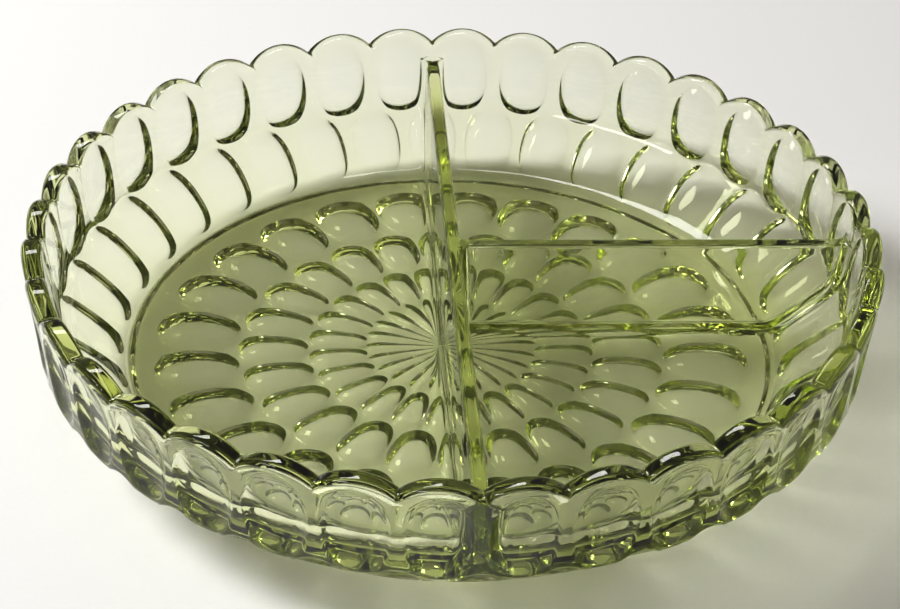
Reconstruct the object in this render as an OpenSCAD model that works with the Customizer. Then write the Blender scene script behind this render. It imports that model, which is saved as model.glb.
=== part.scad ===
// Round divided relish tray in pressed glass, with a scalloped rim and thumbprints pressed into
// the outside. The real tray is one pressing: each module below is one region of that pressing.
// Millimetres, +Z up. The origin is the middle of the face that the tray rests on.

/* [Outside] */
// Outer radius of the wall at the notches between two scallops
rim_r = 126.8; // [116:0.1:140]
// Height of the notches above the table
notch_h = 48; // [42:0.5:60]
// Height of a scallop's crest above the notches
scallop_rise = 4.6; // [3:0.1:6]
// Number of scallops round the rim, which is also the number of thumbprints in each wall band
scallops = 36; // [30:1:42]
// How far the outer wall leans in from the notches down to the shoulder
wall_lean = 2.2; // [0.5:0.1:4]
// Height of the shoulder, where the upright wall turns in to the sloping band
shoulder_h = 20.5; // [17:0.5:24]
// How far the foot, the flat bead that the tray rests on, lies inside the wall's outer radius
foot_in = 25.3; // [20:0.1:32]
// Width of that flat bead
foot_w = 2.4; // [1.8:0.1:6]
// How far the underside inside the foot is lifted off the table
foot_lift = 0.7; // [0.3:0.1:1.5]

/* [Inside] */
// Thickness of the wall at the notches
wall_t = 6; // [5:0.1:8]
// Thickness of the floor
floor_t = 12; // [10:0.5:15]
// How far the flat floor's edge, where the inner slope begins, lies inside the foot's radius
floor_in = 4.5; // [2:0.1:10]
// How far the upright inner wall leans in from the notches down to where the slope meets it
inner_lean = 2.2; // [0.5:0.1:4]
// Height of that corner between the inner slope and the upright inner wall
slope_h = 26; // [23:0.5:32]
// Rounding between the flat floor and the inner slope
floor_round = 9; // [4:0.5:14]
// Rounding between the inner slope and the upright inner wall
wall_round = 9; // [4:0.5:12]

/* [Dividers] */
// Height of the top of the long divider above the table
divider_h = 43.4; // [36:0.1:46]
// How far the top of the cross divider is below it
cross_drop = 0.3; // [0.2:0.1:4]
// Thickness of a divider just under its rounded top
divider_t = 4.4; // [3:0.1:6]
// How much each face of a divider leans out between its top and the floor
divider_lean = 0.9; // [0.3:0.1:2]
// Radius of the rounded top edges
edge_round = 1.2; // [0.6:0.1:1.8]
// Radius of the fillet between a divider and the floor
toe_round = 2.6; // [1:0.1:4]
// Distance of the cross divider's inner end behind the tray's middle
cross_back = 2.4; // [0:0.1:6]

/* [Thumbprints] */
// Depth of the thumbprints in the wall
print_depth = 1.9; // [1:0.1:2.6]
// Height of the top of the upper thumbprints above the notches
upper_print_over = 1.2; // [0:0.1:2]
// Land between the bottom of the upper thumbprints and the shoulder
upper_print_land = 0.8; // [0.3:0.1:3]
// Land between two upper thumbprints
upper_print_gap = 3.4; // [2:0.1:6]
// Depth of the thumbprints in the sloping band
lower_print_depth = 1.9; // [1:0.1:2.6]
// Land above and below the lower thumbprints, along the slope
lower_print_land = 2.4; // [1:0.1:5]
// Land between two lower thumbprints
lower_print_gap = 2.4; // [1:0.1:5]

/* [Underside] */
// Number of scoops in each ring under the floor, and of flutes in its middle
floor_scoops = 24; // [20:1:28]
// Depth of the scoops in the outer ring, which get shallower inwards as they get narrower
scoop_depth = 1.4; // [0.8:0.1:2.4]
// Depth of the flutes at their outer end
flute_depth = 1; // [0.5:0.1:2]
// Land between the foot and the outer ring of scoops
scoop_land = 8.5; // [2:0.1:14]
// Inner radius of the outer ring, as a share of its outer radius
second_ring_share = 0.717; // [0.66:0.001:0.76]
// Inner radius of the second ring, as a share of it too
third_ring_share = 0.475; // [0.42:0.001:0.52]
// Inner radius of the third ring, where the flutes end, as a share of it too
flute_ring_share = 0.276; // [0.22:0.001:0.32]
// Land between two scoops in a ring
scoop_gap = 0.8; // [0.7:0.1:3]
// Radius of the plain spot in the middle of the flutes
flute_eye_r = 1.5; // [1:0.1:4]

/* [Hidden] */

$fn = 96;
// How far a cutter runs past what it cuts
overrun = 2;
// Height of the seam between the wall and the rim, below the notches
seam_drop = 3;
// Number of straight steps in a rounded corner
arc_steps = 5;
// How much the crest of a scallop's arc is flattened
crest_flat = 0.08;
// Height of a thumbprint's cutter in the round wall, in depths of the thumbprint
wall_cutter_share = 2.2;
// Height of a scoop's cutter in the flat underside, so little over the depth that two don't meet
floor_cutter_share = 1.06;

pitch_angle = 360 / scallops;
scoop_angle = 360 / floor_scoops;
foot_r = rim_r - foot_in;
plate_r = foot_r - foot_w;
floor_r = foot_r - floor_in;
shoulder_r = rim_r - wall_lean;
inner_rim_r = rim_r - wall_t;
slope_r = inner_rim_r - inner_lean;
seam_h = notch_h - seam_drop;
crest_h = notch_h + scallop_rise;
wall_slope = wall_lean / (notch_h - shoulder_h);
inner_slope = inner_lean / (notch_h - slope_h);
scoop_ring_r = plate_r - scoop_land;
second_ring_r = scoop_ring_r * second_ring_share;
third_ring_r = scoop_ring_r * third_ring_share;
flute_ring_r = scoop_ring_r * flute_ring_share;

glass_green = [0.47, 0.55, 0.24, 0.6];
glass_dark = [0.36, 0.44, 0.16, 0.7];
glass_pale = [0.66, 0.72, 0.42, 0.5];

// Outer radius of the upright wall at height z
function outer_r(z) = rim_r - wall_slope * (notch_h - z);

// Inner radius of the upright wall at height z
function inner_r(z) = inner_rim_r - inner_slope * (notch_h - z);

// Points of the arc that rounds the corner b between the lines from a and to c
function corner(a, b, c, r) =
    let (u = (a - b) / norm(a - b),
         v = (c - b) / norm(c - b),
         half = acos(u * v) / 2,
         middle = b + (u + v) / norm(u + v) * r / sin(half),
         first = b + u * r / tan(half) - middle,
         last = b + v * r / tan(half) - middle,
         start = atan2(first[1], first[0]),
         turn = atan2(last[1], last[0]) - start,
         sweep = turn > 180 ? turn - 360 : (turn < -180 ? turn + 360 : turn))
    [for (i = [0:arc_steps])
        middle + r * [cos(start + sweep * i / arc_steps), sin(start + sweep * i / arc_steps)]];

floor_middle = [0, floor_t];
floor_corner = [floor_r, floor_t];
slope_corner = [slope_r, slope_h];
inner_top = [inner_r(crest_h + overrun), crest_h + overrun];

// The inside of the bowl, from the middle of the floor out and up past the rim
inside_points = concat(
    [floor_middle],
    corner(floor_middle, floor_corner, slope_corner, floor_round),
    corner(floor_corner, slope_corner, inner_top, wall_round),
    [inner_top]);

// Half section of the space inside the bowl
module inside_section() {
    polygon(concat([[0, crest_h + overrun]], inside_points));
}

// Half section of the glass outside that space, up past the rim
module glass_section() {
    polygon(concat(
        inside_points,
        [[outer_r(crest_h + overrun), crest_h + overrun],
         [shoulder_r, shoulder_h],
         [foot_r, 0],
         [0, 0]]));
}

// The part of the glass section between two radii and two heights, turned round the axis
module glass_between(r_low, r_high, z_low, z_high) {
    rotate_extrude()
        intersection() {
            glass_section();
            translate([r_low, z_low])
                square([r_high - r_low, z_high - z_low]);
        }
}

// Cutter for one thumbprint: it lies along X, presses up to the given depth above z = 0, and
// bites an oval of the given length and width out of a surface that bends away across it. The
// bend is one over that surface's radius, so it's zero where the surface is flat. The cutter is
// as high as the given share of the depth
module thumb(length, width, depth, bend, share) {
    across_r = 1 / (8 * depth / (width * width) - bend);
    along_r = length * length / (8 * depth);
    cap = depth * share;
    half = acos(1 - cap / along_r);
    translate([0, 0, depth - along_r])
        rotate([90, 0, 0])
            rotate([0, 0, 90 - half])
                rotate_extrude(angle = half * 2)
                    intersection() {
                        translate([along_r - across_r, 0])
                            circle(r = across_r);
                        translate([along_r - cap, -width])
                            square([cap * 2, width * 2]);
                    }
}

// All the upper thumbprints, one under each scallop
module upper_prints() {
    top = notch_h + upper_print_over;
    bottom = shoulder_h + upper_print_land;
    middle = (top + bottom) / 2;
    lean = atan(wall_slope);
    width = outer_r(middle) * 2 * sin(pitch_angle / 2) - upper_print_gap;
    for (i = [0:scallops - 1])
        rotate([0, 0, (i + 0.5) * pitch_angle])
            translate([outer_r(middle), 0, middle])
                rotate([0, -90 + lean, 0])
                    thumb((top - bottom) / cos(lean), width, print_depth, 1 / outer_r(middle),
                          wall_cutter_share);
}

// All the lower thumbprints, each under a notch
module lower_prints() {
    band = [shoulder_r - foot_r, shoulder_h];
    length = norm(band) - lower_print_land * 2;
    middle = [foot_r, 0] + band / 2;
    steep = atan(band[1] / band[0]);
    width = middle[0] * 2 * sin(pitch_angle / 2) - lower_print_gap;
    for (i = [0:scallops - 1])
        rotate([0, 0, i * pitch_angle])
            translate([middle[0], 0, middle[1]])
                rotate([0, -steep, 0])
                    thumb(length, width, lower_print_depth, sin(steep) / middle[0],
                          wall_cutter_share);
}

// One ring of scoops in the underside, between two radii
module scoop_ring(r_low, r_high, first_angle) {
    middle = (r_low + r_high) / 2;
    width = middle * 2 * sin(scoop_angle / 2) - scoop_gap;
    depth = scoop_depth * middle * 2 / (scoop_ring_r + second_ring_r);
    for (i = [0:floor_scoops - 1])
        rotate([0, 0, first_angle + i * scoop_angle])
            translate([middle, 0, foot_lift])
                thumb(r_high - r_low, width, depth, 0, floor_cutter_share);
}

// The pointed flutes in the middle of the underside. Each is the top of a cone that lies along
// its flute and dips out of the glass, so that the flute gets wider and deeper outwards. The cones
// keep to their own flutes
module flutes() {
    cone_r = flute_ring_r * sin(scoop_angle / 2) - scoop_gap / 2;
    dip = atan((cone_r - flute_depth) / flute_ring_r);
    eye_share = flute_eye_r / flute_ring_r;
    translate([0, 0, foot_lift])
        for (i = [0:floor_scoops - 1])
            rotate([0, 90 + dip, i * scoop_angle])
                translate([0, 0, flute_eye_r])
                    cylinder(r1 = cone_r * eye_share, r2 = cone_r, h = flute_ring_r - flute_eye_r);
}

module floor_plate() {
    color(glass_green)
        difference() {
            glass_between(0, plate_r, foot_lift, floor_t);
            scoop_ring(second_ring_r, scoop_ring_r, scoop_angle / 2);
            scoop_ring(third_ring_r, second_ring_r, 0);
            scoop_ring(flute_ring_r, third_ring_r, scoop_angle / 2);
            flutes();
        }
}

module foot_ring() {
    color(glass_dark)
        glass_between(plate_r, foot_r, 0, slope_h);
}

module lower_wall() {
    color(glass_green)
        difference() {
            glass_between(foot_r, rim_r, 0, shoulder_h);
            lower_prints();
        }
}

module upper_wall() {
    color(glass_pale)
        difference() {
            glass_between(floor_r, rim_r * 2, shoulder_h, seam_h);
            upper_prints();
        }
}

// What is pressed away at one notch, along +X: the space between the arcs of two scallops
module notch_gap() {
    half = rim_r * sin(pitch_angle / 2);
    arc_r = (half * half + scallop_rise * scallop_rise) / (2 * scallop_rise);
    open = half - sqrt(crest_flat * (2 * arc_r - crest_flat)) / 2;
    translate([inner_rim_r - overrun, 0, 0])
        rotate([90, 0, 90])
            linear_extrude(height = wall_t + overrun * 2)
                difference() {
                    translate([-open, notch_h - overrun])
                        square([open * 2, scallop_rise + overrun * 2]);
                    for (side = [-half, half])
                        translate([side, crest_h - arc_r])
                            circle(r = arc_r);
                }
}

module scalloped_rim() {
    color(glass_dark)
        difference() {
            glass_between(floor_r, rim_r * 2, seam_h, crest_h - crest_flat);
            for (i = [0:scallops - 1])
                rotate([0, 0, i * pitch_angle])
                    notch_gap();
            upper_prints();
        }
}

// Upright section of a divider, drawn round x = 0, from the floor to its rounded top
module divider_section(top) {
    half_top = divider_t / 2;
    half_base = half_top + divider_lean;
    top_edge = [half_top, top];
    base_edge = [half_base, floor_t];
    toe_end = [half_base + toe_round * 2, floor_t];
    right = concat(
        corner([0, top], top_edge, base_edge, edge_round),
        corner(top_edge, base_edge, toe_end, toe_round));
    left = [for (i = [len(right) - 1:-1:0]) [-right[i][0], right[i][1]]];
    polygon(concat(right, left));
}

// A divider that runs from the axis towards +X, longer than the tray
module divider_slab(length, top) {
    rotate([90, 0, 90])
        linear_extrude(height = length)
            divider_section(top);
}

// The long divider before its ends are fitted to the bowl
module long_slab() {
    rotate([0, 0, 90])
        translate([-rim_r, 0, 0])
            divider_slab(rim_r * 2, divider_h);
}

// The space inside the bowl
module inside() {
    rotate_extrude()
        inside_section();
}

module long_divider() {
    color(glass_dark)
        intersection() {
            inside();
            long_slab();
        }
}

module cross_divider() {
    turn = atan(cross_back / inner_rim_r);
    color(glass_dark)
        difference() {
            intersection() {
                inside();
                translate([0, cross_back, 0])
                    rotate([0, 0, -turn])
                        divider_slab(rim_r * 2, divider_h - cross_drop);
            }
            long_slab();
        }
}

floor_plate();
foot_ring();
lower_wall();
upper_wall();
scalloped_rim();
long_divider();
cross_divider();
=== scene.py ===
# %% [markdown]
# # A divided relish tray in pressed green glass
# The real tray is one piece. A gob of molten glass is pressed between an iron mould, which gives
# the scalloped wall, the thumbprints and the scooped underside, and a plunger, which gives the
# smooth inside with its dividers. So there is nothing to assemble here: the lesson is how one
# closed skin is laid, region by region, how Geometry Nodes press the pattern into it, and how glass
# gets its colour from its thickness. Lengths are millimetres until the skin is handed to Blender.

# %% Load the shared frame
import math
from bisect import bisect_right

import bmesh
import bpy
from mathutils import Matrix, Vector


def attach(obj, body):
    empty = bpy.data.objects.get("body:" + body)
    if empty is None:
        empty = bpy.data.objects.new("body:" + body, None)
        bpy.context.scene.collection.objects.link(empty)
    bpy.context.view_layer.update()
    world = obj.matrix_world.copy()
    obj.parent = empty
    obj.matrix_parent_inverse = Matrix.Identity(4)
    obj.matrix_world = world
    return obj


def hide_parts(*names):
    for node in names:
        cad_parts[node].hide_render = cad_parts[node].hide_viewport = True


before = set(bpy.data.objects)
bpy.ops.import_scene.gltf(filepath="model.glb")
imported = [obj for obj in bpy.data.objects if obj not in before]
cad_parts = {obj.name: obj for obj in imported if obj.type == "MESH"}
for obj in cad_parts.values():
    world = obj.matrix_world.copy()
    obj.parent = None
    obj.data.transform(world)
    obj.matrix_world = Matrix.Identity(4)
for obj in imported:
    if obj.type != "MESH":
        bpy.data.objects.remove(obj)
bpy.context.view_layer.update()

MM = 0.001

# %% [markdown]
# ## The measures of the tray
# They repeat the sizes of the CAD part, so that the skin lies where the solids are. The notches lie
# a little inside the scallops, because each scallop also bulges outwards as its crest does upwards.

# %% Measures
RIM_R = 126.2
SCALLOP_BULGE = 0.6
NOTCH_H = 48.0
SCALLOP_RISE = 4.5
WALL_LEAN = 2.2
SHOULDER_H = 20.5
FOOT_R = 101.5
FOOT_W = 2.4
FOOT_LIFT = 0.7
LIP_ROUND = 1.8
FLOOR_H = 12.0
DIVIDER_H = 43.4
DIVIDER_HALF = 2.2
DIVIDER_LEAN = 0.9
EDGE_ROUND = 1.2
TOE_ROUND = 2.6
CROSS_BACK = 2.4
CORNER_ROUND = 3.0
END_RISE = 2.4

SCALLOPS = 36
PITCH = 360 / SCALLOPS
print("a scallop is", round(2 * RIM_R * math.sin(math.radians(PITCH / 2)), 1), "mm wide")

# %% [markdown]
# ## The camera
# The photograph was taken from in front and about 34 degrees above. Its viewpoint was found by
# fitting the 36 notches of the rim, which lie on a circle, and both edges of the long divider.
# The lens is long, so near and far scallops differ little in size.

# %% Camera
VIEW_RISE = 0.594878588
VIEW_TURN = -0.0744659
VIEW_ROLL = 0.0272278772
VIEW_DISTANCE = 613.719
AIM_X, AIM_Y = -3.338, -37.257
FOCAL_PIXELS = 2183.527
FIT_R = 125.0
PICTURE_WIDTH = 900

to_eye = Vector((math.sin(VIEW_TURN) * math.cos(VIEW_RISE),
                 -math.cos(VIEW_TURN) * math.cos(VIEW_RISE), math.sin(VIEW_RISE)))
eye = (Vector((AIM_X, AIM_Y, 0)) + to_eye * VIEW_DISTANCE) * (RIM_R / FIT_R)
eye += Vector((0, 0, NOTCH_H))
level = (-to_eye).cross(Vector((0, 0, 1))).normalized()
upright = level.cross(-to_eye)
side = level * math.cos(VIEW_ROLL) + upright * math.sin(VIEW_ROLL)
top = upright * math.cos(VIEW_ROLL) - level * math.sin(VIEW_ROLL)

camera = bpy.data.objects.new("camera", bpy.data.cameras.new("camera"))
bpy.context.collection.objects.link(camera)
camera.matrix_world = (Matrix.Translation(eye * MM)
                       @ Matrix((side, top, to_eye)).transposed().to_4x4())
camera.data.sensor_width = 36
camera.data.lens = FOCAL_PIXELS / PICTURE_WIDTH * camera.data.sensor_width
camera.data.clip_start = 0.01
bpy.context.scene.camera = camera
print("lens", round(camera.data.lens, 1), "mm, eye", [round(c) for c in eye], "mm")

# %% [markdown]
# ## Helpers for materials
# Colours are written as sRGB hex, as a paint chart gives them, and Blender wants linear light, so
# one function converts them. A second small function adds any node with its settings and links.

# %% Colour and node helpers
def hex_light(code):
    """Linear RGBA of an sRGB hex colour."""
    steps = [int(code[i:i + 2], 16) / 255 for i in (1, 3, 5)]
    return [c / 12.92 if c <= 0.04045 else ((c + 0.055) / 1.055) ** 2.4 for c in steps] + [1.0]


def add_node(tree, kind, settings=None, **sockets):
    """Add a node; a socket (spaces as _, or _0 for the first) takes a value or another socket."""
    node = tree.nodes.new(kind)
    for name, value in (settings or {}).items():
        setattr(node, name, value)
    for name, value in sockets.items():
        key = int(name[1:]) if name[1:].isdigit() else name.replace("_", " ")
        if isinstance(value, bpy.types.NodeSocket):
            tree.links.new(value, node.inputs[key])
        else:
            node.inputs[key].default_value = value
    return node


print("half-way grey #808080 is", [round(c, 3) for c in hex_light("#808080")[:3]], "in light")

# %% [markdown]
# ## The table and the light
# The tray stands on a white table that runs on behind it. The table is one big plane, set a hair
# below the foot, because glass that lies exactly in the plane of a table renders black there.
# A broad soft window stands on the left, a little behind, so the wall's shadow falls to the right,
# tinted by the glass that the light came through.

# %% Table
TABLE_GAP = 0.2
TABLE_HALF = 3000
TABLE_GRAIN = 1.5
TABLE_DULL, TABLE_PALE = "#F2F0EE", "#F6F4F2"

table_skin = bpy.data.materials.new("matt_white_table")
table_skin.use_nodes = True
tree = table_skin.node_tree
paint = tree.nodes["Principled BSDF"]
paint.inputs["Roughness"].default_value = 0.6
grain = add_node(tree, "ShaderNodeTexNoise", Scale=1 / (TABLE_GRAIN * MM), Detail=3.0,
                 Vector=add_node(tree, "ShaderNodeTexCoord").outputs["Object"])
shade = add_node(tree, "ShaderNodeMix", {"data_type": "RGBA"}, Factor=grain.outputs["Fac"],
                 _6=hex_light(TABLE_DULL), _7=hex_light(TABLE_PALE))
tree.links.new(shade.outputs[2], paint.inputs["Base Color"])

corners = [(x * TABLE_HALF * MM, y * TABLE_HALF * MM, -TABLE_GAP * MM)
           for x, y in ((-1, -1), (1, -1), (1, 1), (-1, 1))]
table_mesh = bpy.data.meshes.new("table")
table_mesh.from_pydata(corners, [], [(0, 1, 2, 3)])
table_mesh.materials.append(table_skin)
table = bpy.data.objects.new("table", table_mesh)
bpy.context.collection.objects.link(table)
print("table", 2 * TABLE_HALF / 1000, "m wide")

# %% Light
def soft_window(name, place, aim, width, height, power, tint):
    """A broad area lamp, placed and aimed in millimetres."""
    lamp = bpy.data.lights.new(name, "AREA")
    lamp.shape = "RECTANGLE"
    lamp.size, lamp.size_y = width * MM, height * MM
    lamp.energy = power
    lamp.color = hex_light(tint)[:3]
    holder = bpy.data.objects.new(name, lamp)
    holder.location = Vector(place) * MM
    holder.rotation_euler = (Vector(aim) - Vector(place)).to_track_quat("-Z", "Y").to_euler()
    bpy.context.collection.objects.link(holder)
    return holder


window = soft_window("left_window", place=(-1566, 479, 1264), aim=(0, 0, 0), width=700,
                     height=900, power=58, tint="#FDFEFF")
window.visible_glossy = False

# The photographer's window was bigger and paler than a lamp of this power. So where the eye looks
# at the lamp itself through the glass, before any matt surface, it sees none of its light.
window.data.use_nodes = True
tree = window.data.node_tree
path = add_node(tree, "ShaderNodeLightPath")
straight = add_node(tree, "ShaderNodeMath", {"operation": "LESS_THAN"},
                    _0=path.outputs["Diffuse Depth"], _1=0.5)
glare = add_node(tree, "ShaderNodeMath", {"operation": "MULTIPLY"}, _0=straight.outputs[0],
                 _1=path.outputs["Is Transmission Ray"])
glow = add_node(tree, "ShaderNodeMapRange", Value=glare.outputs[0], _3=1.0, _4=0.0)
tree.links.new(glow.outputs[0], tree.nodes["Emission"].inputs["Strength"])

# The two strips only draw highlights on the faces. They light nothing and don't show through glass.
for name, place, wide, high, power in (
        ("front_left_strip", (-675, -380, 710), 650, 80, 1.6),
        ("overhead_strip", (-200, 640, 930), 620, 200, 4.0)):
    strip = soft_window(name, place, (0, 0, 0), wide, high, power, "#FFFFFD")
    strip.visible_diffuse = strip.visible_transmission = False

# The room is pale overhead and dim near the horizon, so glass edges that look sideways turn dark.
ROOM_DIM, ROOM_PALE = 0.14, 0.21
ROOM_PALE_FROM = 0.9

room = bpy.data.worlds.new("pale_room")
bpy.context.scene.world = room
room.use_nodes = True
tree = room.node_tree
rise_of_ray = add_node(tree, "ShaderNodeSeparateXYZ",
                       Vector=add_node(tree, "ShaderNodeTexCoord").outputs["Generated"])
ceiling = add_node(tree, "ShaderNodeMapRange", {"interpolation_type": "SMOOTHSTEP"},
                   Value=rise_of_ray.outputs["Z"], _1=0.0, _2=ROOM_PALE_FROM,
                   _3=ROOM_DIM, _4=ROOM_PALE)
tree.links.new(ceiling.outputs[0], tree.nodes["Background"].inputs["Strength"])
tree.nodes["Background"].inputs["Color"].default_value = hex_light("#FAF3E6")
bpy.context.scene.view_settings.view_transform = "Standard"
print("one window, two strips and a pale room")

# %% [markdown]
# ## The two faces of the wall
# The mould turns the outside, the plunger the inside. Both are round, so a radius for each height
# says it all. The inside is a curve through a few heights and radii: a flat floor, a hollow corner,
# a slope, a round bend and an upright wall that leans out a little so that the plunger comes free.

# %% Profiles
INSIDE = [(0, 95.0), (0.25, 97.4), (1.0, 99.8), (2.4, 102.1), (5.2, 105.4), (8.4, 109.2),
          (11.4, 112.7), (13.7, 115.0), (16.0, 116.6), (19.0, 117.9), (23.0, 118.8),
          (28.0, 119.4), (31.0, 119.8), (36.0, 120.5), (42.0, 121.2)]

BULGE_FROM, BULGE_FULL = 30, 46
HALF_CHORD = RIM_R * math.sin(math.radians(PITCH / 2))
ARC_R = (HALF_CHORD ** 2 + SCALLOP_RISE ** 2) / (2 * SCALLOP_RISE)
WALL_SLOPE = WALL_LEAN / (NOTCH_H - SHOULDER_H)


def between(a, b, share):
    return a + (b - a) * share


def inner_radius(height):
    """Radius of the plunger's face at a height above the table."""
    over = height - FLOOR_H
    i = min(max(bisect_right([h for h, r in INSIDE], over), 1), len(INSIDE) - 1)
    (h0, r0), (h1, r1) = INSIDE[i - 1], INSIDE[i]
    return between(r0, r1, min(max((over - h0) / (h1 - h0), 0), 1))


def across_scallop(angle):
    """-1 to 1 from notch to notch across the scallop at this angle."""
    return 2 * ((angle / PITCH) % 1.0) - 1


def crest_height(angle):
    """Height of the scalloped edge, an arc from notch to notch."""
    x = across_scallop(angle) * HALF_CHORD
    return NOTCH_H + SCALLOP_RISE - ARC_R + math.sqrt(ARC_R ** 2 - x * x)


def outer_radius(height, angle):
    """Radius of the mould's face; high up each scallop bulges out."""
    lift = min(1, max(0, (height - BULGE_FROM) / (BULGE_FULL - BULGE_FROM)))
    bulge = SCALLOP_BULGE * (1 - across_scallop(angle) ** 2) * lift
    return RIM_R - WALL_SLOPE * (NOTCH_H - height) + bulge


def at(radius, angle, height):
    return Vector((radius * math.cos(math.radians(angle)), radius * math.sin(math.radians(angle)),
                   height))


print("wall", round(outer_radius(NOTCH_H, 0) - inner_radius(NOTCH_H), 1), "mm thick at a notch")

# %% [markdown]
# ## Laying the skin
# A boolean would cut 170 ovals out of a turned shape, but it leaves ragged faces that show as
# creases in clear glass. Here the skin is laid in rows of four-sided faces instead. Each scallop is
# a cell of 16 by 16 faces whose lines are bent so that one closed line follows the oval's edge.
# Every point also remembers which way it may be pressed and how deep, from 0 at the edge of its
# oval to 1 in the middle. The pressing itself comes later.

# %% The skin
class Skin:
    def __init__(self):
        self.points, self.faces, self.ways = [], [], []
        self.dents = {"upper": {}, "lower": {}, "scoop": {}, "flute": {}}

    def point(self, place, way=(0, 0, 0), dent=0.0, kind=None):
        self.points.append(Vector(place))
        self.ways.append(tuple(way))
        if dent > 0:
            self.dents[kind][len(self.points) - 1] = dent
        return len(self.points) - 1

    def strip(self, above, below, closed=True):
        """Faces between two rows of points."""
        count = len(above)
        for i in range(count if closed else count - 1):
            k = (i + 1) % count
            self.faces.append((above[i], above[k], below[k], below[i]))


skin = Skin()
PER_SCALLOP = 16
COLUMNS = SCALLOPS * PER_SCALLOP


CROWDING = 0.5


def drawn_in(x):
    """-1 to 1 across a cell, with the columns closer together at its sides."""
    return x + CROWDING * math.sin(math.pi * x) / math.pi


def column_angle(column):
    cell = math.floor(column / PER_SCALLOP)
    x = 2 * (column - cell * PER_SCALLOP) / PER_SCALLOP - 1
    return PITCH * (cell + (drawn_in(x) + 1) / 2)


ANGLES = [column_angle(j) for j in range(COLUMNS)]
print(COLUMNS, "columns round the wall")

# %% One cell with its oval
LOOPS = [0.0, 0.25, 0.48, 0.67, 0.82, 0.93, 1.0]
HALF_CELL = PER_SCALLOP // 2
RIM_LOOP = len(LOOPS)
RIM_SHARE = 0.35


def cell_point(s, t, border, oval, fullness, roundness):
    """Place and dent of the grid point s, t (-1 to 1) of a cell. The inner loops lie in the oval,
    the outer one on the cell's border, and one between them outside the oval. Fullness 2 is an
    ellipse, more is boxier; a higher roundness keeps the middle flat and the edge steep."""
    ring = max(abs(s), abs(t))
    loop = round(ring * HALF_CELL)
    if loop == 0:
        return oval(0, 0), 1.0
    if loop == HALF_CELL:
        return border(s, t), 0.0
    reach = (abs(s) ** fullness + abs(t) ** fullness) ** (-1 / fullness)
    x, y = s * reach, t * reach
    if loop < RIM_LOOP:
        rho = LOOPS[loop]
        return oval(x * rho, y * rho), 1 - rho ** roundness
    rim, edge = border(s / ring, t / ring), oval(x, y)
    return tuple(between(a, b, RIM_SHARE) for a, b in zip(edge, rim)), 0.0


print("loops of an oval at", LOOPS)

# %% [markdown]
# ## The lip
# From the dividers' tops up the inner wall, over the rounded edge and down to the outer face. The
# edge follows the scallops. It was fire-polished, so it is round and bright.

# %% Lip
CROSS_COLUMN, BACK_COLUMN, FRONT_COLUMN = 0, COLUMNS // 4, COLUMNS * 3 // 4
END_HALF = 4
INNER_STEPS = 5
LIP_LIFTS = (18, 36, 54, 72, 90)


def divider_climb(column):
    """How far a divider's top climbs where it runs into the wall."""
    climb = 0.0
    for middle in (CROSS_COLUMN, BACK_COLUMN, FRONT_COLUMN):
        off = (column - middle + COLUMNS // 2) % COLUMNS - COLUMNS // 2
        if abs(off) < END_HALF:
            climb = max(climb, END_RISE * (1 - (off / END_HALF) ** 2) ** 2)
    return climb


rows = []
for k in range(INNER_STEPS + 1):
    rows.append([])
    for j, angle in enumerate(ANGLES):
        height = between(DIVIDER_H + divider_climb(j), crest_height(angle) - LIP_ROUND,
                         k / INNER_STEPS)
        rows[-1].append(skin.point(at(inner_radius(height), angle, height)))
for face, sign in ((lambda h, a: inner_radius(h), 1), (outer_radius, -1)):
    for lift in LIP_LIFTS[::sign]:
        rows.append([])
        for angle in ANGLES:
            spring = crest_height(angle) - LIP_ROUND
            radius = face(spring, angle) + sign * LIP_ROUND * (1 - math.cos(math.radians(lift)))
            height = spring + LIP_ROUND * math.sin(math.radians(lift))
            rows[-1].append(skin.point(at(radius, angle, height)))
print(len(rows), "rows over the lip")

# %% [markdown]
# ## The mould's face
# Outside, a band slopes up from the foot to the shoulder, and the upright wall goes on from there.
# Both bands of thumbprints run a little way over the shoulder, the upper ones between the lower, so
# they are laid on one face, measured by the way up it from the foot. The shoulder is softly round.

# %% Mould face
SHOULDER_SOFT = 1.5
FOOT_ROUND = 1.3
SEAM_MIDDLE, SEAM_WAVE = 0.9, 2.3

wall_tilt = math.atan(WALL_SLOPE)
run, rise = outer_radius(SHOULDER_H, 0) - FOOT_R, SHOULDER_H
band = math.hypot(run, rise)


def curve(start, corner, end, t):
    """Radius and height at share t of a curve that rounds off a corner."""
    return tuple((1 - t) ** 2 * a + 2 * t * (1 - t) * b + t * t * c
                 for a, b, c in zip(start, corner, end))


def straight_face(up, angle):
    if up <= band:
        return FOOT_R + run * up / band, rise * up / band
    height = SHOULDER_H + (up - band) * math.cos(wall_tilt)
    return outer_radius(height, angle), height


def mould_face(up, angle):
    """Radius and height at a way up the face, round over the shoulder."""
    near = (up - band) / SHOULDER_SOFT
    if abs(near) >= 1:
        return straight_face(up, angle)
    below = straight_face(band - SHOULDER_SOFT, angle)
    above = straight_face(band + SHOULDER_SOFT, angle)
    edge = straight_face(band, angle)
    return curve(below, edge, above, (near + 1) / 2)


def way_up(height):
    return band + (height - SHOULDER_H) / math.cos(wall_tilt)


def seam_line(angle):
    """The wavy line between the two bands, higher at the notches."""
    return band + SEAM_MIDDLE + SEAM_WAVE * math.cos(math.radians(SCALLOPS * angle))


print("way up to the shoulder", round(band, 1), "mm")

# %% [markdown]
# ## The upper band
# One tall oval under each scallop. The cell of an oval runs from notch to notch, and from the
# shoulder up to the lip. The ovals have a nearly flat middle and a steep edge, which is the part
# that turns dark.

# %% Upper band
UPPER_LOW, UPPER_HIGH, UPPER_WIDE = 20.2, 49.3, 18.6
PRINT_FULLNESS, PRINT_ROUNDNESS = 2.2, 3.2

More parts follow.
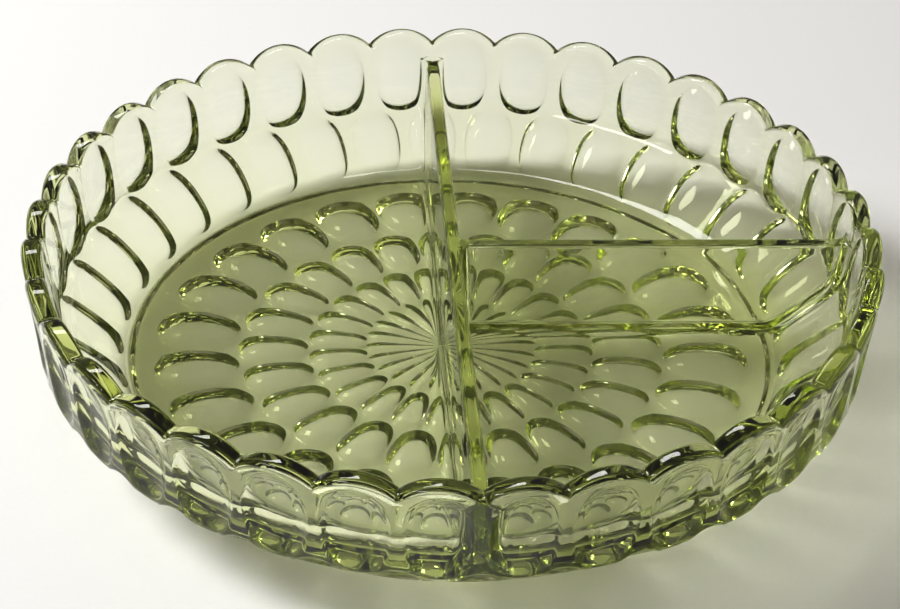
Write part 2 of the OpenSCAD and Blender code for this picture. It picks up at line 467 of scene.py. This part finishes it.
upper_half_angle = math.degrees(UPPER_WIDE / 2 / RIM_R)
for k in range(PER_SCALLOP, -1, -1):
    rows.append([])
    for j in range(COLUMNS):
        cell, i = divmod(j, PER_SCALLOP)
        middle = PITCH * (cell + 0.5)

        def border(s, t):
            angle = middle + PITCH / 2 * drawn_in(s)
            return angle, between(seam_line(angle), way_up(crest_height(angle) - LIP_ROUND),
                                  (t + 1) / 2)

        def oval(x, y):
            return (middle + x * upper_half_angle,
                    way_up(between(UPPER_LOW, UPPER_HIGH, (y + 1) / 2)))

        (angle, up), dent = cell_point(i / HALF_CELL - 1, k / HALF_CELL - 1, border, oval,
                                       PRINT_FULLNESS, PRINT_ROUNDNESS)
        inward = -at(math.cos(wall_tilt), angle, -math.sin(wall_tilt))
        radius, height = mould_face(up, angle)
        rows[-1].append(skin.point(at(radius, angle, height), inward, dent, "upper"))
print("upper ovals", UPPER_HIGH - UPPER_LOW, "by", UPPER_WIDE, "mm")

# %% [markdown]
# ## The lower band
# Below the shoulder the wall turns in to the foot. Its ovals sit between those above, one under
# each notch, so the cells are shifted by half a scallop.

# %% Lower band
LOWER_LOW, LOWER_HIGH, LOWER_WIDE = 2.2, band + 2.4, 17.6

lower_half_angle = math.degrees(LOWER_WIDE / 2 / (FOOT_R + run / 2))
for k in range(PER_SCALLOP - 1, -1, -1):
    rows.append([])
    for j in range(COLUMNS):
        cell, i = divmod(j + HALF_CELL, PER_SCALLOP)

        def border(s, t):
            angle = column_angle(cell * PER_SCALLOP + s * HALF_CELL)
            return angle, between(FOOT_ROUND, seam_line(angle), (t + 1) / 2)

        def oval(x, y):
            return (PITCH * cell + x * lower_half_angle,
                    between(LOWER_LOW, LOWER_HIGH, (y + 1) / 2))

        (angle, up), dent = cell_point(i / HALF_CELL - 1, k / HALF_CELL - 1, border, oval,
                                       PRINT_FULLNESS, PRINT_ROUNDNESS)
        inward = -at(rise / band, angle, -run / band)
        radius, height = mould_face(up, angle)
        rows[-1].append(skin.point(at(radius, angle, height), inward, dent, "lower"))
print("lower ovals", round(LOWER_HIGH - LOWER_LOW, 1), "by", LOWER_WIDE, "mm")

# %% [markdown]
# ## The foot
# Only a narrow bead touches the table. Inside it runs a small hollow, whose steep side shows as a
# dark line round the floor, and then the underside, lifted a little. There the 576 columns of the
# wall give way to the 384 of the scoops.

# %% Foot
SCOOPS = 24
SCOOP_PITCH = 360 / SCOOPS
PER_SCOOP = PER_SCALLOP
FLOOR_COLUMNS = SCOOPS * PER_SCOOP
SCOOP_RINGS = [(65.0, 91.4), (43.6, 65.6), (25.8, 44.0)]
FLUTE_R = 25.3
PATTERN_R = SCOOP_RINGS[0][1] + 0.8
HOLLOW_H = 1.7

foot_inside = FOOT_R - FOOT_W
foot_turn = [curve(straight_face(FOOT_ROUND, 0), (FOOT_R, 0), (FOOT_R - FOOT_ROUND, 0), t)
             for t in (0.25, 0.5, 0.75, 1.0)]
for radius, height in foot_turn + [
        (foot_inside + 0.7, 0), (foot_inside + 0.2, 0.2), (foot_inside - 1.4, HOLLOW_H - 0.25),
        (foot_inside - 2.0, HOLLOW_H), (foot_inside - 2.6, HOLLOW_H - 0.05),
        (PATTERN_R + 1.6, FOOT_LIFT + 0.1)]:
    rows.append([skin.point(at(radius, angle, height)) for angle in ANGLES])
for above, below in zip(rows, rows[1:]):
    skin.strip(above, below)

row = [skin.point(at(PATTERN_R, j * 360 / FLOOR_COLUMNS, FOOT_LIFT)) for j in range(FLOOR_COLUMNS)]
for g in range(COLUMNS // 3):
    o = [rows[-1][(3 * g + c) % COLUMNS] for c in range(4)]
    n = [row[(2 * g + c) % FLOOR_COLUMNS] for c in range(3)]
    skin.faces += [(o[0], o[1], n[1], n[0]), (o[1], o[2], n[1]), (o[2], o[3], n[2], n[1])]
print("bead", FOOT_W, "mm wide")

# %% [markdown]
# ## The scooped underside
# Three rings of 24 scoops, each ring turned by half a scoop against the next, so the border between
# two rings is a wavy line. The scoops fill their cells, which leaves thin ridges, and they are
# shallower where they are narrower. Seen through the floor, the sides that fall away from the eye
# turn dark: that is the crescent pattern.

# %% Scoop rings
RING_WAVE = 1.1
RIDGE = 0.3
SCOOP_FULLNESS = [2.05, 2.3, 2.6]
SCOOP_SHALLOWING = [1.0, 0.84, 0.66]
SCOOP_ROUNDNESS = 2.8

ring_borders = [PATTERN_R] + [(low + high) / 2 for (low, _), high in
                              zip(SCOOP_RINGS, [ring[1] for ring in SCOOP_RINGS[1:]] + [FLUTE_R])]


def wavy(radius, angle, ring):
    """Border inside ring number ring: it swings in where that ring's scoops reach in."""
    wave = RING_WAVE * math.cos(math.radians(SCOOPS * (angle - SCOOP_PITCH / 2)))
    return radius - wave * (1 if ring % 2 == 0 else -1)


for ring, (low, high) in enumerate(SCOOP_RINGS):
    turned = 0.5 if ring % 2 == 0 else 0.0
    middle_r = (low + high) / 2
    half_angle = SCOOP_PITCH / 2 - math.degrees(RIDGE / 2 / middle_r)
    for k in range(PER_SCOOP - 1, -1, -1):
        new_row = []
        for j in range(FLOOR_COLUMNS):
            cell, i = divmod(j - int(turned * PER_SCOOP) + HALF_CELL, PER_SCOOP)
            middle = SCOOP_PITCH * (cell + turned)

            def border(s, t):
                angle = middle + SCOOP_PITCH / 2 * s
                outside = PATTERN_R if ring == 0 else wavy(ring_borders[ring], angle, ring - 1)
                return angle, between(wavy(ring_borders[ring + 1], angle, ring), outside,
                                      (t + 1) / 2)

            def oval(x, y):
                return middle + x * half_angle, between(low, high, (y + 1) / 2)

            (angle, radius), dent = cell_point(i / HALF_CELL - 1, k / HALF_CELL - 1, border, oval,
                                               SCOOP_FULLNESS[ring], SCOOP_ROUNDNESS)
            new_row.append(skin.point(at(radius, angle, FOOT_LIFT), (0, 0, 1),
                                      dent * SCOOP_SHALLOWING[ring], "scoop"))
        skin.strip(row, new_row)
        row = new_row
print(SCOOPS * len(SCOOP_RINGS), "scoops")

# %% Flutes
FLUTE_ROWS = 14
FLUTE_EYE = 1.2
FLUTE_FULL_R = 15
FLUTE_TIP = 0.62

for k in range(1, FLUTE_ROWS + 1):
    new_row = []
    for j in range(FLOOR_COLUMNS):
        angle = j * 360 / FLOOR_COLUMNS
        rim = wavy(ring_borders[-1], angle, len(SCOOP_RINGS) - 1)
        radius = between(rim, FLUTE_EYE, k / FLUTE_ROWS)
        across = 2 * ((angle / SCOOP_PITCH + 0.5) % 1.0) - 1
        past = max(0, radius - FLUTE_R * FLUTE_TIP) / (FLUTE_R * (1 - FLUTE_TIP) + RING_WAVE * 0.6)
        opening = math.sqrt(max(0, 1 - past * past))
        dent = 0.0
        if opening > 0.001:
            dent = max(0, 1 - (across / opening) ** 2) * min(1, radius / FLUTE_FULL_R) * opening
        new_row.append(skin.point(at(radius, angle, FOOT_LIFT), (0, 0, 1), dent, "flute"))
    skin.strip(row, new_row)
    row = new_row
navel = skin.point((0, 0, FOOT_LIFT))
skin.faces += [(row[j], row[(j + 1) % FLOOR_COLUMNS], navel) for j in range(FLOOR_COLUMNS)]
print(SCOOPS, "flutes meet in the middle")

# %% [markdown]
# ## The three compartments
# The plunger has three lobes, one for each compartment. A lobe is laid as level outlines, one below
# another: an arc along the wall, round corners, and straight sides along the dividers. Each side
# stands off the divider's middle by half its thickness, and by more lower down, since the divider
# leans out and ends in a hollow toe.

# %% Levels of a compartment
CORNER_STEPS, LONG_STEPS, TEE_STEPS, CROSS_STEPS = 8, 40, 12, 40
EDGE_STEPS, FACE_STEPS, TOE_STEPS = 5, 16, 6
FLOOR_MARGIN = 0.7

levels = []
for q in range(EDGE_STEPS + 1):
    turn = math.radians(90 * q / EDGE_STEPS)
    levels.append((DIVIDER_H - EDGE_ROUND * (1 - math.cos(turn)),
                   DIVIDER_HALF - EDGE_ROUND + EDGE_ROUND * math.sin(turn)))
face_top, face_low = DIVIDER_H - EDGE_ROUND, FLOOR_H + TOE_ROUND
for q in range(1, FACE_STEPS):
    levels.append((between(face_top, face_low, q / FACE_STEPS),
                   DIVIDER_HALF + DIVIDER_LEAN * q / FACE_STEPS))
for q in range(TOE_STEPS + 1):
    turn = math.radians(90 * q / TOE_STEPS)
    levels.append((face_low - TOE_ROUND * math.sin(turn),
                   DIVIDER_HALF + DIVIDER_LEAN + TOE_ROUND * (1 - math.cos(turn))))
levels.append((FLOOR_H, levels[-1][1] + FLOOR_MARGIN))

cross_turn = math.atan(CROSS_BACK / inner_radius(NOTCH_H))
CROSS_UP = (math.sin(cross_turn), math.cos(cross_turn))
CROSS_OFF = CROSS_UP[1] * CROSS_BACK
print(len(levels), "levels from the dividers' tops to the floor")

# %% Outline of a compartment at one level
def turned_on(start, end):
    """The angle end, a full turn on if need be, so that it comes after start."""
    return start + (end - start) % (2 * math.pi)


def wall_corner(face, off, wall_r, angle):
    """Middle and radius of the round corner between the wall and a divider's face."""
    way = (math.cos(math.radians(angle)), math.sin(math.radians(angle)))
    lean = face[0] * way[0] + face[1] * way[1]
    radius = max((wall_r * lean - off) / (1 + lean), CORNER_ROUND)
    along = math.sqrt((wall_r - radius) ** 2 - (off + radius) ** 2)
    if face[0] * way[1] - face[1] * way[0] < 0:
        along = -along
    return (face[0] * (off + radius) - face[1] * along,
            face[1] * (off + radius) + face[0] * along), radius


def arc(middle, radius, start, end, steps):
    return [(middle[0] + radius * math.cos(between(start, end, i / steps)),
             middle[1] + radius * math.sin(between(start, end, i / steps)))
            for i in range(steps + 1)]


def line(start, end, steps):
    return [(between(start[0], end[0], i / steps), between(start[1], end[1], i / steps))
            for i in range(1, steps + 1)]


def heading(vector, back=False):
    return math.atan2(-vector[1], -vector[0]) if back else math.atan2(vector[1], vector[0])


LEFT, RIGHT, DOWN = (-1.0, 0.0), (1.0, 0.0), (-CROSS_UP[0], -CROSS_UP[1])
WALL_END = PITCH / 4


def compartment_faces(name, half):
    """The two divider faces a compartment's outline meets: way, offset, angle at the wall."""
    if name == "half":
        return (LEFT, half, 270 - WALL_END), (LEFT, half, 90 + WALL_END)
    if name == "front":
        return (DOWN, half - CROSS_OFF, 360 - WALL_END), (RIGHT, half, 270 + WALL_END)
    return (RIGHT, half, 90 - WALL_END), (CROSS_UP, half + CROSS_OFF, WALL_END)


COMPARTMENTS = {"half": (BACK_COLUMN + END_HALF, FRONT_COLUMN - END_HALF),
                "front": (FRONT_COLUMN + END_HALF, COLUMNS - END_HALF),
                "back": (END_HALF, BACK_COLUMN - END_HALF)}


TEE_MARGIN = 0.2


def outline(name, wall_r, half):
    """Points round a compartment, anticlockwise from above, and how many lie on the wall."""
    first, last = COMPARTMENTS[name]
    (way_a, off_a, angle_a), (way_b, off_b, angle_b) = compartment_faces(name, half)
    mid_a, round_a = wall_corner(way_a, off_a, wall_r, angle_a)
    mid_b, round_b = wall_corner(way_b, off_b, wall_r, angle_b)
    start, end = heading(mid_b), turned_on(heading(mid_b), heading(mid_a))
    points = []
    for j in range(first, last + 1):
        share = ((column_angle(j) - column_angle(first))
                 / (column_angle(last) - column_angle(first)))
        points.append((wall_r * math.cos(between(start, end, share)),
                       wall_r * math.sin(between(start, end, share))))
    on_wall = len(points)
    points += arc(mid_a, round_a, heading(mid_a),
                  turned_on(heading(mid_a), heading(way_a, True)), CORNER_STEPS)[1:]
    end_b = (mid_b[0] - way_b[0] * round_b, mid_b[1] - way_b[1] * round_b)
    if name == "half":
        tee = half + CORNER_ROUND + TEE_MARGIN
        points += line(points[-1], (-half, CROSS_BACK - tee), LONG_STEPS)
        points += line(points[-1], (-half, CROSS_BACK + tee), TEE_STEPS)
        points += line(points[-1], end_b, LONG_STEPS)
    else:
        steps = (CROSS_STEPS, LONG_STEPS) if name == "front" else (LONG_STEPS, CROSS_STEPS)
        det = way_a[0] * way_b[1] - way_a[1] * way_b[0]
        p, q = off_a + CORNER_ROUND, off_b + CORNER_ROUND
        mid = ((p * way_b[1] - q * way_a[1]) / det, (way_a[0] * q - way_b[0] * p) / det)
        points += line(points[-1], (mid[0] - way_a[0] * CORNER_ROUND,
                                    mid[1] - way_a[1] * CORNER_ROUND), steps[0])
        points += arc(mid, CORNER_ROUND, heading(way_a, True),
                      turned_on(heading(way_a, True), heading(way_b, True)), CORNER_STEPS)[1:]
        points += line(points[-1], end_b, steps[1])
    points += arc(mid_b, round_b, heading(way_b, True),
                  turned_on(heading(way_b, True), heading(mid_b)), CORNER_STEPS)[1:-1]
    return points, on_wall


for name in COMPARTMENTS:
    print(name, len(outline(name, inner_radius(DIVIDER_H), DIVIDER_HALF)[0]), "points round it")

# %% Lay the compartments
rims = {}
for name, (first, last) in COMPARTMENTS.items():
    above = None
    for height, half in levels:
        wall_r = inner_radius(height)
        if above is not None and half == levels[-1][1]:
            wall_r -= FLOOR_MARGIN
        points, on_wall = outline(name, wall_r, half)
        if above is None:
            loop = rows[0][first:last + 1]
            loop += [skin.point((x, y, height)) for x, y in points[on_wall:]]
            rims[name] = loop
        else:
            loop = [skin.point((x, y, height)) for x, y in points]
            skin.strip(above, loop)
        above = loop
    skin.faces.append(tuple(above))
print("three compartments,", len(skin.points), "points so far")

# %% [markdown]
# ## The tops of the dividers
# What is left open is a T between the compartments: two arms of the long divider and the cross
# divider. Each arm is laid across from rim to rim. Near the wall its top climbs in a small hollow,
# as glass does where the plunger's slots end.

# %% Divider tops
def lay_across(side_a, side_b):
    """Lines of points across a divider's top, from one compartment's rim to the next."""
    lines = []
    for a, b in zip(side_a, side_b):
        across = [a]
        for q in range(1, 2 * END_HALF):
            place = skin.points[a].lerp(skin.points[b], q / (2 * END_HALF))
            room_left = inner_radius(DIVIDER_H) - math.hypot(place.x, place.y)
            if room_left < END_RISE:
                fade = (1 - (q / END_HALF - 1) ** 2) ** 2
                reach = END_RISE - max(room_left, 0)
                place.z += fade * (END_RISE - math.sqrt(max(0, END_RISE ** 2 - reach ** 2)))
            across.append(skin.point(place))
        lines.append(across + [b])
    return lines


def lay(lines):
    for a, b in zip(lines, lines[1:]):
        skin.strip(a, b, closed=False)


def wall_line(first, last):
    step = 1 if last > first else -1
    return [rows[0][j % COLUMNS] for j in range(first, last + step, step)]


half_rim, front_rim, back_rim = rims["half"], rims["front"], rims["back"]
n = COMPARTMENTS["half"][1] - COMPARTMENTS["half"][0]
half_a = half_rim[n:n + CORNER_STEPS + 1]
half_side = half_rim[n + CORNER_STEPS:n + CORNER_STEPS + 2 * LONG_STEPS + TEE_STEPS + 1]
half_b = half_rim[n + CORNER_STEPS + 2 * LONG_STEPS + TEE_STEPS:] + [half_rim[0]]


def sides(rim, span, steps_a, steps_b):
    """Cut a quarter's rim into wall corner, side, T corner, side and wall corner."""
    cuts = [span, span + CORNER_STEPS, span + CORNER_STEPS + steps_a,
            span + 2 * CORNER_STEPS + steps_a, span + 2 * CORNER_STEPS + steps_a + steps_b]
    pieces = [rim[a:b + 1] for a, b in zip(cuts, cuts[1:])]
    return pieces + [rim[cuts[-1]:] + [rim[0]]]


n = COMPARTMENTS["front"][1] - COMPARTMENTS["front"][0]
front_a, front_cross, front_tee, front_long, front_b = sides(front_rim, n, CROSS_STEPS, LONG_STEPS)
back_a, back_long, back_tee, back_cross, back_b = sides(back_rim, n, LONG_STEPS, CROSS_STEPS)

front_arm = [wall_line(FRONT_COLUMN - END_HALF, FRONT_COLUMN + END_HALF)] + lay_across(
    half_a[1:] + half_side[1:LONG_STEPS + 1], front_b[::-1][1:] + front_long[::-1][1:])
back_arm = lay_across(half_side[LONG_STEPS + TEE_STEPS:] + half_b[1:-1],
                      back_long[::-1] + back_a[::-1][1:-1])
back_arm.append(wall_line(BACK_COLUMN + END_HALF, BACK_COLUMN - END_HALF))
cross_arm = lay_across(back_cross + back_b[1:-1], front_cross[::-1] + front_a[::-1][1:-1])
cross_arm.append(wall_line(END_HALF, -END_HALF))
for arm in (front_arm, back_arm, cross_arm):
    lay(arm)
skin.faces.append(tuple(
    half_side[LONG_STEPS:LONG_STEPS + TEE_STEPS + 1][::-1] + front_arm[-1][1:]
    + front_tee[::-1][1:] + cross_arm[0][::-1][1:] + back_tee[::-1][1:]
    + back_arm[0][::-1][1:-1]))
print("closed skin:", len(skin.points), "points,", len(skin.faces), "faces")

# %% [markdown]
# ## Blank glass
# The skin becomes a mesh in metres. The way and the dent of each point go along as attributes,
# which Geometry Nodes can read. At this stage it is a blank: every band is still smooth.

# %% Blank
blank_mesh = bpy.data.meshes.new("blank")
blank_mesh.from_pydata([place * MM for place in skin.points], [], skin.faces)
way = blank_mesh.attributes.new("way", "FLOAT_VECTOR", "POINT")
way.data.foreach_set("vector", [c for each in skin.ways for c in each])
for kind, dents in skin.dents.items():
    mark = blank_mesh.attributes.new(kind + "_dent", "FLOAT", "POINT")
    mark.data.foreach_set("value", [dents.get(i, 0.0) for i in range(len(skin.points))])
blank_mesh.update()

edge_count = {}
for face in skin.faces:
    for a, b in zip(face, face[1:] + face[:1]):
        edge_count[min(a, b), max(a, b)] = edge_count.get((min(a, b), max(a, b)), 0) + 1
assert set(edge_count.values()) == {2}, "the skin has a gap"
# The rows were laid in different directions, so one pass turns every face outwards.
turner = bmesh.new()
turner.from_mesh(blank_mesh)
bmesh.ops.recalc_face_normals(turner, faces=turner.faces)
volume = turner.calc_volume(signed=True) / MM ** 3
turner.to_mesh(blank_mesh)
turner.free()
assert volume > 0, "the skin is inside out"
blank = bpy.data.objects.new("blank", blank_mesh)
bpy.context.collection.objects.link(blank)
print("blank holds", round(volume / 1000), "cm3 of glass, every edge shared by two faces")

# %% [markdown]
# ## Pressing the pattern
# A Geometry Nodes tree does what the iron mould does. It reads the dents, scales each kind by its
# depth, and moves the points that far along their ways. The depths are the tree's inputs, so the
# same blank can be pressed deeper or shallower without laying it again.

# %% The mould as a node tree
PRESS_DEPTHS = {"Upper depth": ("upper_dent", 2.4), "Lower depth": ("lower_dent", 2.6),
                "Scoop depth": ("scoop_dent", 3.3), "Flute depth": ("flute_dent", 1.3)}

mould = bpy.data.node_groups.new("iron_mould", "GeometryNodeTree")
mould.interface.new_socket("Geometry", in_out="INPUT", socket_type="NodeSocketGeometry")
mould.interface.new_socket("Geometry", in_out="OUTPUT", socket_type="NodeSocketGeometry")
for name in PRESS_DEPTHS:
    mould.interface.new_socket(name, in_out="INPUT", socket_type="NodeSocketFloat")
mould.interface.new_socket("Glass", in_out="INPUT", socket_type="NodeSocketMaterial")
start = add_node(mould, "NodeGroupInput")

depth = None
for name, (mark, _) in PRESS_DEPTHS.items():
    dent = add_node(mould, "GeometryNodeInputNamedAttribute", {"data_type": "FLOAT"}, Name=mark)
    one = add_node(mould, "ShaderNodeMath", {"operation": "MULTIPLY"},
                   _0=dent.outputs["Attribute"], _1=start.outputs[name])
    depth = one if depth is None else add_node(mould, "ShaderNodeMath", {"operation": "ADD"},
                                               _0=depth.outputs[0], _1=one.outputs[0])
way_in = add_node(mould, "GeometryNodeInputNamedAttribute", {"data_type": "FLOAT_VECTOR"},
                  Name="way")
push = add_node(mould, "ShaderNodeVectorMath", {"operation": "SCALE"},
                _0=way_in.outputs["Attribute"], Scale=depth.outputs[0])
pressed = add_node(mould, "GeometryNodeSetPosition", Geometry=start.outputs["Geometry"],
                   Offset=push.outputs[0])
polished = add_node(mould, "GeometryNodeSetShadeSmooth", Geometry=pressed.outputs[0])
real = add_node(mould, "GeometryNodeRealizeInstances", Geometry=polished.outputs[0])
dressed = add_node(mould, "GeometryNodeSetMaterial", Geometry=real.outputs[0],
                   Material=start.outputs["Glass"])
add_node(mould, "NodeGroupOutput", Geometry=dressed.outputs[0])
print("mould with inputs", list(PRESS_DEPTHS))

# %% [markdown]
# ## Green pressed glass
# Soda-lime glass, coloured olive by iron and chromium in the melt. Its surface is clear: the colour
# lies in its depth, so it is given as absorption, and a thick place is darker than a thin one. A
# faint tint at the surface keeps the thin wall green, as the melt holds back blue at any depth.
# Its index is 1.52. Pressed glass is never quite even. The iron chills its skin into long
# shallow waves, which make reflections wander, and years of use leave a haze of fine scratches
# on the foot.

# %% Glass
glass = bpy.data.materials.new("olive_pressed_glass")
glass.use_nodes = True
tree = glass.node_tree
body = tree.nodes["Principled BSDF"]
body.inputs["Base Color"].default_value = (0.99, 0.995, 0.965, 1)
body.inputs["IOR"].default_value = 1.52
body.inputs["Transmission Weight"].default_value = 1.0

where = add_node(tree, "ShaderNodeTexCoord").outputs["Object"]
CHILL_WAVE, CHILL_DEPTH = 14, 0.09
FINE_RIPPLE, RIPPLE_DEPTH = 3.5, 0.012
chill = add_node(tree, "ShaderNodeTexNoise", Vector=where, Scale=1 / (CHILL_WAVE * MM),
                 Detail=1.0)
ripple = add_node(tree, "ShaderNodeTexNoise", Vector=where, Scale=1 / (FINE_RIPPLE * MM),
                  Detail=1.0)
waves = add_node(tree, "ShaderNodeBump", Strength=1.0, Distance=CHILL_DEPTH * MM,
                 Height=chill.outputs["Fac"])
ripples = add_node(tree, "ShaderNodeBump", Strength=1.0, Distance=RIPPLE_DEPTH * MM,
                   Height=ripple.outputs["Fac"], Normal=waves.outputs["Normal"])
tree.links.new(ripples.outputs["Normal"], body.inputs["Normal"])

SCRATCH_SIZE = 1.2
POLISH, FOOT_HAZE = 0.005, 0.25

height_m = add_node(tree, "ShaderNodeSeparateXYZ", Vector=where).outputs["Z"]
foot_wear = add_node(tree, "ShaderNodeMapRange", Value=height_m, _1=0.35 * MM, _2=0.05 * MM,
                     _3=0.0, _4=1.0)
scratches = add_node(tree, "ShaderNodeTexNoise", Vector=where, Scale=1 / (SCRATCH_SIZE * MM),
                     Detail=4.0)
haze = add_node(tree, "ShaderNodeMath", {"operation": "MULTIPLY"}, _0=foot_wear.outputs[0],
                _1=scratches.outputs["Fac"])
rough = add_node(tree, "ShaderNodeMath", {"operation": "MULTIPLY_ADD"}, _0=haze.outputs[0],
                 _1=FOOT_HAZE, _2=POLISH)
tree.links.new(rough.outputs[0], body.inputs["Roughness"])

depth_colour = add_node(tree, "ShaderNodeVolumeAbsorption", Color=(0.79, 0.835, 0.33, 1),
                        Density=45.0)
tree.links.new(depth_colour.outputs[0], tree.nodes["Material Output"].inputs["Volume"])
print("glass: index", round(body.inputs["IOR"].default_value, 2))

# %% Press
press = blank.modifiers.new("press", "NODES")
press.node_group = mould
for item in mould.interface.items_tree:
    if item.in_out == "INPUT" and item.name in PRESS_DEPTHS:
        press[item.identifier] = PRESS_DEPTHS[item.name][1] * MM
    elif item.in_out == "INPUT" and item.name == "Glass":
        press[item.identifier] = glass
ready = blank.evaluated_get(bpy.context.evaluated_depsgraph_get())
tray_mesh = bpy.data.meshes.new_from_object(ready)
blank.modifiers.remove(press)
bpy.data.objects.remove(blank)
tray_mesh.name = "pressed_tray"
for name in ["way"] + [mark for mark, _ in PRESS_DEPTHS.values()]:
    tray_mesh.attributes.remove(tray_mesh.attributes[name])
tray = bpy.data.objects.new("pressed_tray", tray_mesh)
bpy.context.collection.objects.link(tray)
print("pressed tray:", len(tray_mesh.polygons), "faces, material", tray_mesh.materials[0].name)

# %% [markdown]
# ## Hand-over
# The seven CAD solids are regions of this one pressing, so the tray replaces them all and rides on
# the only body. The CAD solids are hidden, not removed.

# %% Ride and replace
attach(tray, "root")
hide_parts("floor_plate", "foot_ring", "lower_wall", "upper_wall", "scalloped_rim",
            "long_divider", "cross_divider")
